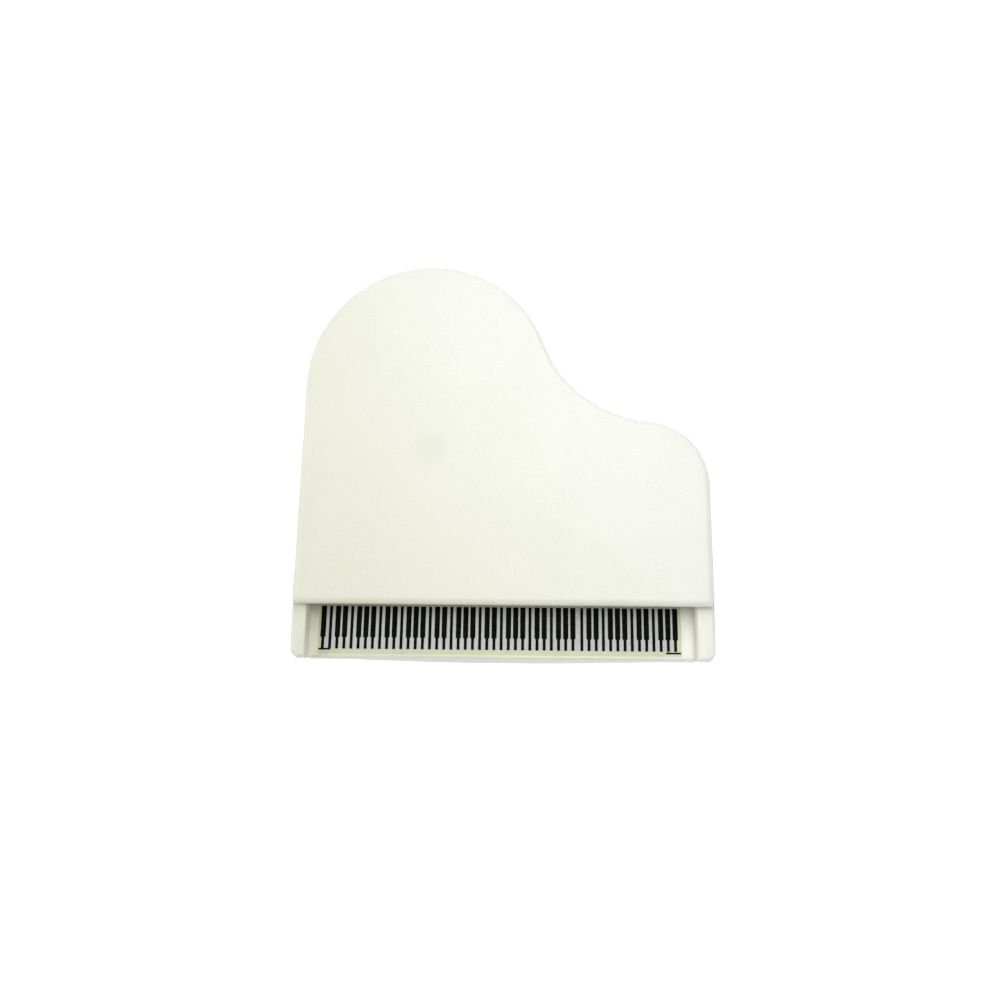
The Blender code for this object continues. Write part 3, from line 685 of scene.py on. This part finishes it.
def is_arm_edge(edge):
    """Whether an edge runs along the top of an arm or its nose, apart from the step's foot."""
    return (all(on_arm_top(vertex) for vertex in edge.verts) and len(edge.link_faces) == 2
            and edge.calc_face_angle() > math.radians(ARM_EDGE_ANGLE)
            and min(drawn(vertex.co)[1] for vertex in edge.verts) < ARM_STEP_BACK - ON_PLANE)


def round_edges(mesh, chosen, radius, segments):
    """Round the edges of a mesh that a test chooses, with a radius in mm."""
    bm = bmesh.new()
    bm.from_mesh(mesh)
    edges = [edge for edge in bm.edges if chosen(edge)]
    bmesh.ops.bevel(bm, geom=edges, offset=radius * MM, segments=segments, profile=0.5,
                    affect="EDGES")
    bm.to_mesh(mesh)
    bm.free()


def across(v, z, u):
    """at() for an outline that is drawn in v and z, and runs along u."""
    return at(u, v, z)


def scroll_outline():
    """The side view of what is cut from under the arms' noses, with an S-shaped edge."""
    front, foot = ARM_FRONT - FRONT_SPARE, CASE_BOTTOM - CUT_SPARE
    side = [(front, NOSE_FOOT), (ARM_FRONT - SCROLL_LIP, NOSE_FOOT)]
    height = NOSE_FOOT - CASE_BOTTOM
    for i in range(1, SCROLL_STEPS):
        sweep = ARM_SCROLL * (1 - math.cos(math.pi * i / SCROLL_STEPS)) / 2
        side.append((ARM_FRONT + sweep, NOSE_FOOT - height * i / SCROLL_STEPS))
    back = ARM_FRONT + ARM_SCROLL
    return side + [(back, CASE_BOTTOM), (back, foot), (front, foot)]


def make_case():
    """The rim and arms in one moulding, with rounded noses and notches for the hinges."""
    left, right = CASE_LEFT + CASE_SKIN, CASE_RIGHT - CASE_SKIN
    inner = side_path(CASE_MARGIN - WALL)
    arm_inside = CASE_RIGHT - RIGHT_ARM_WIDTH
    radius = ARM_CORNER_RADIUS
    outline = [(CASE_LEFT + WALL, ARM_FRONT)]
    outline += corner(left + radius, ARM_FRONT + radius, radius, 270.0, 180.0, NOSE_STEPS)
    outline += side_path(CASE_MARGIN - CASE_SKIN)
    outline += corner(right - radius, ARM_FRONT + radius, radius, 0.0, -90.0, NOSE_STEPS)
    outline += [(arm_inside, ARM_FRONT), (arm_inside, FALLBOARD_BACK)]
    outline.append((inner[-1][0], FALLBOARD_BACK))
    outline += reversed(inner)
    rim = prism("case_shell", outline, CASE_BOTTOM, CASE_TOP)

    roof = CASE_TOP + CUT_SPARE
    ends = (left - CUT_SPARE, right + CUT_SPARE)
    step = box_outline((ARM_FRONT - FRONT_SPARE, ARM_STEP_BACK), (ARM_TOP, roof))
    subtract(rim, prism("arm_step_cut", step, *ends, across))
    subtract(rim, prism("arm_scroll_cut", scroll_outline(), *ends, across))
    wall = (CASE_LEFT - CUT_SPARE, CASE_LEFT + WALL + CUT_SPARE)
    for station in HINGE_STATIONS:
        half = HINGE_LENGTH / 2 + HINGE_FIT
        notch = box_outline(wall, (station - half, station + half))
        subtract(rim, prism("hinge_notch_cut", notch, HINGE_Z - HINGE_SEAT, roof))
    baked(rim)
    round_edges(rim.data, is_arm_edge, ARM_ROUND, ARM_ROUND_STEPS)
    soften(rim, CASE_SOFT, 3, CASE_SOFT_ANGLE, False)
    baked(rim)
    limit = CASE_HIGH.x - BOX_CLEARANCE * MM
    for vertex in rim.data.vertices:
        vertex.co.x = min(max(vertex.co.x, -limit), limit)
    dress(rim, ivory_case, "root", "ivory_plastic", "case_rim")


# ---- keyboard ------------------------------------------------------------------------------------

KEY_FRAME_ROUND = 0.38
KEY_FRAME_ROUND_STEPS = 10
KEY_FRAME_SNUG = 0.04       # how far the frame goes past the CAD slip, into both arms
KEY_FRAME_SOFT = 0.035
KEY_FRAME_SOFT_ANGLE = 50.0
LABEL_SEAT = 0.01
PRINT_LIFT = 0.012
FIRST_MARK = 3.62
MARK_PITCH = 1.0066
SPLICE_AFTER = 35
SPLICE_GAP = 0.25
MARK_COUNT = 50
MARK_BACK = 0.75
SHOULDER = -3.64
MARK_FOOT = -5.38
BLACK_HALF = 0.37
LINE_HALF = 0.21
WHITE_SHORT = 0.05          # how far the white keys stop short of the marks' feet
# The bits of the print's border at its lower corners: left, right and v for each.
BORDER_BITS = ((3.09, 4.72, -5.42), (51.83, 53.92, -5.6))
BORDER_HALF = 0.13


def mark_u(index):
    """The middle of a key mark; the print is spliced part of the way along."""
    return FIRST_MARK + MARK_PITCH * index + (SPLICE_GAP if index > SPLICE_AFTER else 0.0)


def print_layer(name, shapes, low, high, material):
    """Printed shapes in one piece, each a thin closed layer of ink."""
    bm = bmesh.new()
    for shape in shapes:
        skin(bm, [[at(u, v, z) for u, v in shape] for z in (low, high)])
    dress(from_bmesh(name, bm), material, "root", "label_paper")


def make_key_frame():
    """The keyboard's moulded frame: slip and both cheeks in one piece, snug between the arms."""
    left, front, bottom = drawn(SLIP_LOW)
    right = drawn(SLIP_HIGH)[0]
    left, right = left - KEY_FRAME_SNUG, right + KEY_FRAME_SNUG
    label_left, label_front, _ = drawn(LABEL_LOW)
    label_right, label_back, _ = drawn(LABEL_HIGH)
    hole_left, hole_right = label_left - LABEL_SEAT, label_right + LABEL_SEAT
    hole_front = label_front - LABEL_SEAT
    outline = [(left, front), (right, front), (right, label_back), (hole_right, label_back),
               (hole_right, hole_front), (hole_left, hole_front), (hole_left, label_back),
               (left, label_back)]
    piece = prism("key_frame", outline, bottom, KEY_TOP)

    def is_nose(edge):
        ends = [drawn(vertex.co) for vertex in edge.verts]
        return all(abs(v - front) < ON_PLANE and abs(z - KEY_TOP) < ON_PLANE for _, v, z in ends)

    round_edges(piece.data, is_nose, KEY_FRAME_ROUND, KEY_FRAME_ROUND_STEPS)
    soften(piece, KEY_FRAME_SOFT, 3, KEY_FRAME_SOFT_ANGLE)
    baked(piece)
    dress(piece, ivory_case, "root", "ivory_plastic", "key_slip", "cheek_left", "cheek_right")


def make_keyboard():
    """The printed keys, on their label.

    Each mark is the line between two white keys, with a black key above it, except after B and E.
    """
    top = LABEL_HIGH.z / MM
    chamfer = SHOULDER - (BLACK_HALF - LINE_HALF)
    marks = []
    for index in range(MARK_COUNT):
        u = mark_u(index)
        line_left, line_right = u - LINE_HALF, u + LINE_HALF
        key_left, key_right = u - BLACK_HALF, u + BLACK_HALF
        if "ABCDEFG"[index % 7] in "BE":
            marks.append(box_outline((line_left, line_right), (MARK_FOOT, MARK_BACK)))
            continue
        marks.append([(line_left, MARK_FOOT), (line_right, MARK_FOOT), (line_right, chamfer),
                      (key_right, SHOULDER), (key_right, MARK_BACK), (key_left, MARK_BACK),
                      (key_left, SHOULDER), (line_left, chamfer)])
    for left, right, v in BORDER_BITS:
        marks.append(box_outline((left, right), (v - BORDER_HALF, v + BORDER_HALF)))
    whites = []
    for index in range(MARK_COUNT - 1):
        sides = (mark_u(index) + LINE_HALF, mark_u(index + 1) - LINE_HALF)
        whites.append(box_outline(sides, (MARK_FOOT + WHITE_SHORT, MARK_BACK)))
    print_layer("keys_white_print", whites, top, top + PRINT_LIFT / 2, grey_ink)
    print_layer("keys_black_print", marks, top, top + PRINT_LIFT, black_ink)
    restore("key_label", cream)
    restore("fallboard", ivory_case)
    restore("key_bed", ivory_case, 0.08)
    make_key_frame()


# ---- inside --------------------------------------------------------------------------------------

STRUTS = (12.5, 22.0, 31.0, 43.5)
STRUT_GAP = 0.75
FIRST_STRING = 3.4
LAST_STRING = 54.6
STRING_PITCH = 0.62
STRING_Z = PLATE_TOP + 0.45
STRING_END_Z = PLATE_TOP + 0.25
OVER_BRIDGE = 0.12
WOUND_UNTIL = 14.0
WOUND_RADIUS = 0.085
PLAIN_RADIUS = 0.05
PIN_ROWS = (5.2, 6.4)
PIN_SUNK = 0.1
TUNING_PIN_RISE = 0.85
TUNING_PIN_RADIUS = 0.16
HITCH_PIN_RISE = 0.4
HITCH_PIN_RADIUS = 0.12
PLATE_INSET = 3.6           # from the lid's edge to the edge of the string plate
HITCH_INSET = 0.2
BASS_HITCH_INSET = 0.8      # where the plate's edge still climbs, left of BASS_UNTIL
BASS_UNTIL = 10.0
BRIDGE_CENTRE = (42.5, 50.0)
BRIDGE_RADIUS = 36.0
BRIDGE_FRONT = 8.0          # a string bends over the bridge only between these limits
BRIDGE_TO_HITCH = 2.0
FELT_U, FELT_V = (2.6, 55.2), (8.0, 8.9)
FELT_Z = (PLATE_TOP + 0.02, PLATE_TOP + 0.36)


def bridge_v(u):
    """Where the curved bridge crosses a given u."""
    offset = u - BRIDGE_CENTRE[0]
    return BRIDGE_CENTRE[1] - math.sqrt(max(BRIDGE_RADIUS ** 2 - offset ** 2, 0.0))


def make_strings():
    """Strings from tuning pins to hitch pins, over the bridge, and clear of the plate's struts."""
    wires, wound, pins, hitches = bmesh.new(), bmesh.new(), bmesh.new(), bmesh.new()
    sunk = PLATE_TOP - PIN_SUNK
    bridge_top = BRIDGE_HIGH.z / MM + OVER_BRIDGE
    u, index = FIRST_STRING, 0
    while u < LAST_STRING:
        if min(abs(u - strut) for strut in STRUTS) > STRUT_GAP:
            row = PIN_ROWS[index % 2]
            inset = BASS_HITCH_INSET if u < BASS_UNTIL else HITCH_INSET
            back = reach(u, -PLATE_INSET) - inset
            path = [at(u, row, STRING_Z), at(u, back, STRING_END_Z)]
            crossing = bridge_v(u)
            if BRIDGE_FRONT < crossing < back - BRIDGE_TO_HITCH:
                path.insert(1, at(u, crossing, bridge_top))
            in_bass = u < WOUND_UNTIL
            for start, end in zip(path, path[1:]):
                tube(wound if in_bass else wires, start, end,
                     WOUND_RADIUS if in_bass else PLAIN_RADIUS, 6)
            tube(pins, at(u, row, sunk), at(u, row, PLATE_TOP + TUNING_PIN_RISE),
                 TUNING_PIN_RADIUS, 10)
            tube(hitches, at(u, back, sunk), at(u, back, PLATE_TOP + HITCH_PIN_RISE),
                 HITCH_PIN_RADIUS, 8)
            index += 1
        u += STRING_PITCH
    for name, bm, material in (("strings_plain", wires, steel), ("strings_wound", wound, copper),
                               ("tuning_pins", pins, steel), ("hitch_pins", hitches, steel)):
        dress(from_bmesh(name, bm, ROUND_ANGLE), material, "root", "brass")


def make_inside():
    """The string plate, soundboard, bridge and strings, and the felt strip under the strings."""
    restore("string_plate", gold_paint, 0.12, 3)
    restore("soundboard", spruce)
    restore("bridge", maple, 0.1)
    restore("case_floor", ivory_case)
    make_strings()
    cloth = prism("string_felt", box_outline(FELT_U, FELT_V), *FELT_Z)
    soften(cloth, 0.1, 3)
    baked(cloth)
    dress(cloth, red_felt, "root", "gold_paint")


# ---- hinges and prop -----------------------------------------------------------------------------

def make_fittings():
    """The lid's hinges, and the prop with its bracket, pin and cup."""
    for place in ("front", "rear"):
        restore(f"hinge_leaf_case_{place}", brass)
        restore(f"hinge_leaf_lid_{place}", brass)
        restore(f"hinge_pin_{place}", brass)
    restore("lid_prop", ivory_case, 0.08)
    restore("prop_bracket", brass, 0.08)
    restore("prop_pin", brass, 0.06)
    restore("prop_cup", ivory_case)


# ---- legs and lyre -------------------------------------------------------------------------------

# Profiles of (radius, height), from the top down.
LEG_PROFILE = (
    # the spigot in the case
    (0.0, 28.5), (0.95, 28.5), (0.95, 27.3),
    # the block under the case
    (2.35, 27.3), (2.45, 27.24), (2.5, 27.1), (2.5, 24.3), (2.46, 24.18), (2.36, 24.1),
    # the collar
    (1.78, 24.02), (1.68, 23.9), (1.65, 23.7), (1.7, 23.5), (1.85, 23.32), (2.05, 23.15),
    (2.17, 22.98), (2.2, 22.8), (2.17, 22.62), (2.05, 22.47), (1.85, 22.36), (1.76, 22.22),
    # the tapered shaft
    (1.72, 22.0), (1.72, 21.0), (1.72, 18.0), (1.67, 15.5), (1.6, 13.0), (1.51, 10.5),
    (1.4, 8.0), (1.26, 5.8), (1.12, 4.0), (1.06, 3.4),
    # the ring over the foot
    (1.08, 3.2), (1.25, 3.05), (1.42, 2.9), (1.52, 2.7), (1.55, 2.5), (1.5, 2.35), (1.36, 2.22),
    # the ball foot
    (1.05, 2.13), (1.0, 2.0), (1.02, 1.9), (1.3, 1.72), (1.5, 1.5), (1.6, 1.25), (1.65, 0.95),
    (1.64, 0.65), (1.57, 0.35), (1.44, 0.12), (1.2, 0.0), (0.0, 0.0),
)
POST_PROFILE = (
    (0.0, 20.2), (0.75, 20.2), (0.75, 19.45), (0.7, 19.35), (0.52, 19.22), (0.5, 19.0),
    (0.52, 18.7), (0.63, 18.1), (0.72, 17.5), (0.78, 16.2), (0.8, 14.5), (0.75, 12.0),
    (0.66, 9.0), (0.53, 6.3), (0.45, 4.3), (0.46, 3.95), (0.62, 3.75), (0.68, 3.45),
    (0.68, 0.06), (0.62, 0.0), (0.0, 0.0),
)


def middle(node_name):
    """The plan centre of a CAD node, in drawing coordinates."""
    low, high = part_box(node_name)
    u, v, _ = drawn((low + high) / 2)
    return u, v


def make_legs():
    """Three turned legs, each with a spigot in its socket and a ball foot."""
    for place in ("leg_front_left", "leg_front_right", "leg_rear"):
        leg = turned(place + "_turned", middle(place), LEG_PROFILE)
        dress(leg, ivory_case, "root", "ivory_plastic", place)


PEDAL_NECK = 0.4
NECK_START = 1.35           # how far behind the toe's centre the neck is straight
NECK_JOIN = (0.06, 1.0)
# The inset of each ring, with its rise over the pedal's foot or its drop under the top.
PEDAL_LOWER = ((0.1, 0.0), (0.03, 0.03), (0.0, 0.1))
PEDAL_UPPER = ((0.0, 0.2), (0.03, 0.09), (0.1, 0.03), (0.2, 0.0))


def make_pedal(place):
    """A cast pedal: the CAD bar's outline with a domed, rounded top."""
    low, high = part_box(place)
    left, front, bottom = drawn(low)
    right, back, top = drawn(high)
    u = (left + right) / 2
    toe = (right - left) / 2
    flare, join = NECK_JOIN

    def ring(inset, z):
        neck = PEDAL_NECK - inset
        half = [(neck, back), (neck, front + toe + NECK_START), (neck + flare, front + toe + join)]
        points = [(u - side, v) for side, v in half]
        points += corner(u, front + toe, toe - inset, 180.0, 360.0, 20)
        points += [(u + side, v) for side, v in reversed(half)]
        return [at(a, b, z) for a, b in points]

    rings = [ring(inset, bottom + rise) for inset, rise in PEDAL_LOWER]
    rings += [ring(inset, top - drop) for inset, drop in PEDAL_UPPER]
    dress(loft(place + "_cast", rings, ROUND_ANGLE), brass, "root", "brass", place)


def make_lyre():
    """The pedal lyre: two turned posts between block and box, three pedals and two stays."""
    for place in ("lyre_post_left", "lyre_post_right"):
        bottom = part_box(place)[0].z / MM
        profile = [(radius, z + bottom) for radius, z in POST_PROFILE]
        post = turned(place + "_turned", middle(place), profile, 32)
        dress(post, ivory_case, "root", "ivory_plastic", place)
    for place in ("pedal_soft", "pedal_middle", "pedal_sustain"):
        make_pedal(place)
    for place in ("lyre_block", "pedal_box"):
        restore(place, ivory_case)
    for place in ("lyre_stay_left", "lyre_stay_right"):
        restore(place, brass)


make_stage()
make_lid()
make_case()
make_keyboard()
make_inside()
make_fittings()
make_legs()
make_lyre()
